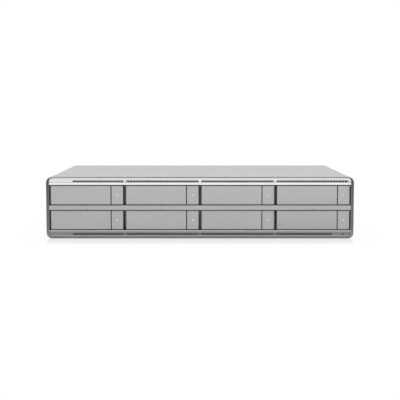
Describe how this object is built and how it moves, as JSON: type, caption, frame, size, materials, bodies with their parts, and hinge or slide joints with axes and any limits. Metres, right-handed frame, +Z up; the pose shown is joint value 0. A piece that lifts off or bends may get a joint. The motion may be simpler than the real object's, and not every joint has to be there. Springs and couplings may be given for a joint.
{
  "type": "ip video recorder",
  "caption": "Two-unit rack recorder chassis with two rows of hot-swap drive trays behind lever handles, in a rounded grey steel case.",
  "frame": {"origin": "middle of the case's footprint, on the surface it stands on", "axes": "+X along the front to the right as seen from the front, +Y to the rear, +Z up"},
  "size_m": [0.44, 0.31, 0.088],
  "materials": {
    "case_paint": "fine satin powder coat, light silver grey",
    "frame_paint": "satin dark grey paint",
    "strip_silver": "satin silver-white paint",
    "bar_silver": "bead-blasted, anodised",
    "cage_steel": "zinc-plated sheet",
    "circuit_board": "green solder mask",
    "socket_plastic": "moulded black nylon",
    "sink_aluminium": "extruded, clear anodised",
    "jack_shell": "tin-plated sheet",
    "fan_plastic": "moulded black plastic",
    "inlet_plastic": "moulded black plastic",
    "tray_paint": "matt black powder coat",
    "drive_casting": "die-cast and machined",
    "face_silver": "bead-blasted, anodised silver",
    "light_guide": "clear moulded polycarbonate"
  },
  "bodies": {
    "chassis": {"base_pan": "case_paint", "top_cover": "case_paint", "rear_panel": "case_paint", "bezel_frame": "frame_paint", "vent_strip": "strip_silver", "middle_bar": "bar_silver", "lower_bar": "bar_silver", "drive_cage": "cage_steel", "backplane": "circuit_board", "drive_sockets": "socket_plastic", "main_board": "circuit_board", "heat_sink": "sink_aluminium", "network_jacks": "jack_shell", "data_sockets": "jack_shell", "power_supply": "cage_steel", "power_inlet": "inlet_plastic", "fan_frames": "fan_plastic"},
    "rotor_1": {"fan_rotor_1": "fan_plastic"},
    "rotor_2": {"fan_rotor_2": "fan_plastic"},
    "rocker": {"power_rocker": "inlet_plastic"},
    "tray_1": {"tray_1": "tray_paint", "drive_1": "drive_casting", "light_pipe_1": "light_guide"},
    "lever_1": {"lever_1": "face_silver"},
    "button_1": {"button_1": "face_silver"},
    "tray_2": {"tray_2": "tray_paint", "drive_2": "drive_casting", "light_pipe_2": "light_guide"},
    "lever_2": {"lever_2": "face_silver"},
    "button_2": {"button_2": "face_silver"},
    "tray_3": {"tray_3": "tray_paint", "drive_3": "drive_casting", "light_pipe_3": "light_guide"},
    "lever_3": {"lever_3": "face_silver"},
    "button_3": {"button_3": "face_silver"},
    "tray_4": {"tray_4": "tray_paint", "drive_4": "drive_casting", "light_pipe_4": "light_guide"},
    "lever_4": {"lever_4": "face_silver"},
    "button_4": {"button_4": "face_silver"},
    "tray_5": {"tray_5": "tray_paint", "drive_5": "drive_casting", "light_pipe_5": "light_guide"},
    "lever_5": {"lever_5": "face_silver"},
    "button_5": {"button_5": "face_silver"},
    "tray_6": {"tray_6": "tray_paint", "drive_6": "drive_casting", "light_pipe_6": "light_guide"},
    "lever_6": {"lever_6": "face_silver"},
    "button_6": {"button_6": "face_silver"},
    "tray_7": {"tray_7": "tray_paint", "drive_7": "drive_casting", "light_pipe_7": "light_guide"},
    "lever_7": {"lever_7": "face_silver"},
    "button_7": {"button_7": "face_silver"},
    "tray_8": {"tray_8": "tray_paint", "drive_8": "drive_casting", "light_pipe_8": "light_guide"},
    "lever_8": {"lever_8": "face_silver"},
    "button_8": {"button_8": "face_silver"}
  },
  "joints": [
    {"name": "tray_1_slide", "type": "slide", "parent": "chassis", "child": "tray_1", "axis": [0, -1, 0], "range_m": [0, 0.165]},
    {"name": "lever_1_hinge", "type": "hinge", "parent": "tray_1", "child": "lever_1", "pos_m": [-0.21145, -0.1506, 0.06205], "axis": [0, 0, -1], "range_deg": [0, 60]},
    {"name": "button_1_press", "type": "slide", "parent": "tray_1", "child": "button_1", "axis": [0, 1, 0], "range_m": [0, 0.0015], "stiffness_N_per_m": 900},
    {"name": "tray_2_slide", "type": "slide", "parent": "chassis", "child": "tray_2", "axis": [0, -1, 0], "range_m": [0, 0.165]},
    {"name": "lever_2_hinge", "type": "hinge", "parent": "tray_2", "child": "lever_2", "pos_m": [-0.10345, -0.1506, 0.06205], "axis": [0, 0, -1], "range_deg": [0, 60]},
    {"name": "button_2_press", "type": "slide", "parent": "tray_2", "child": "button_2", "axis": [0, 1, 0], "range_m": [0, 0.0015], "stiffness_N_per_m": 900},
    {"name": "tray_3_slide", "type": "slide", "parent": "chassis", "child": "tray_3", "axis": [0, -1, 0], "range_m": [0, 0.165]},
    {"name": "lever_3_hinge", "type": "hinge", "parent": "tray_3", "child": "lever_3", "pos_m": [0.00455, -0.1506, 0.06205], "axis": [0, 0, -1], "range_deg": [0, 60]},
    {"name": "button_3_press", "type": "slide", "parent": "tray_3", "child": "button_3", "axis": [0, 1, 0], "range_m": [0, 0.0015], "stiffness_N_per_m": 900},
    {"name": "tray_4_slide", "type": "slide", "parent": "chassis", "child": "tray_4", "axis": [0, -1, 0], "range_m": [0, 0.165]},
    {"name": "lever_4_hinge", "type": "hinge", "parent": "tray_4", "child": "lever_4", "pos_m": [0.11255, -0.1506, 0.06205], "axis": [0, 0, -1], "range_deg": [0, 60]},
    {"name": "button_4_press", "type": "slide", "parent": "tray_4", "child": "button_4", "axis": [0, 1, 0], "range_m": [0, 0.0015], "stiffness_N_per_m": 900},
    {"name": "tray_5_slide", "type": "slide", "parent": "chassis", "child": "tray_5", "axis": [0, -1, 0], "range_m": [0, 0.165]},
    {"name": "lever_5_hinge", "type": "hinge", "parent": "tray_5", "child": "lever_5", "pos_m": [-0.21145, -0.1506, 0.02625], "axis": [0, 0, -1], "range_deg": [0, 60]},
    {"name": "button_5_press", "type": "slide", "parent": "tray_5", "child": "button_5", "axis": [0, 1, 0], "range_m": [0, 0.0015], "stiffness_N_per_m": 900},
    {"name": "tray_6_slide", "type": "slide", "parent": "chassis", "child": "tray_6", "axis": [0, -1, 0], "range_m": [0, 0.165]},
    {"name": "lever_6_hinge", "type": "hinge", "parent": "tray_6", "child": "lever_6", "pos_m": [-0.10345, -0.1506, 0.02625], "axis": [0, 0, -1], "range_deg": [0, 60]},
    {"name": "button_6_press", "type": "slide", "parent": "tray_6", "child": "button_6", "axis": [0, 1, 0], "range_m": [0, 0.0015], "stiffness_N_per_m": 900},
    {"name": "tray_7_slide", "type": "slide", "parent": "chassis", "child": "tray_7", "axis": [0, -1, 0], "range_m": [0, 0.165]},
    {"name": "lever_7_hinge", "type": "hinge", "parent": "tray_7", "child": "lever_7", "pos_m": [0.00455, -0.1506, 0.02625], "axis": [0, 0, -1], "range_deg": [0, 60]},
    {"name": "button_7_press", "type": "slide", "parent": "tray_7", "child": "button_7", "axis": [0, 1, 0], "range_m": [0, 0.0015], "stiffness_N_per_m": 900},
    {"name": "tray_8_slide", "type": "slide", "parent": "chassis", "child": "tray_8", "axis": [0, -1, 0], "range_m": [0, 0.165]},
    {"name": "lever_8_hinge", "type": "hinge", "parent": "tray_8", "child": "lever_8", "pos_m": [0.11255, -0.1506, 0.02625], "axis": [0, 0, -1], "range_deg": [0, 60]},
    {"name": "button_8_press", "type": "slide", "parent": "tray_8", "child": "button_8", "axis": [0, 1, 0], "range_m": [0, 0.0015], "stiffness_N_per_m": 900},
    {"name": "fan_1_spin", "type": "hinge", "parent": "chassis", "child": "rotor_1", "pos_m": [0.0788, 0.1368, 0.044], "axis": [0, 1, 0], "continuous": true},
    {"name": "fan_2_spin", "type": "hinge", "parent": "chassis", "child": "rotor_2", "pos_m": [0.1668, 0.1368, 0.044], "axis": [0, 1, 0], "continuous": true},
    {"name": "power_switch", "type": "hinge", "parent": "chassis", "child": "rocker", "pos_m": [-0.1555, 0.147, 0.024], "axis": [1, 0, 0], "range_deg": [0, 14]}
  ]
}
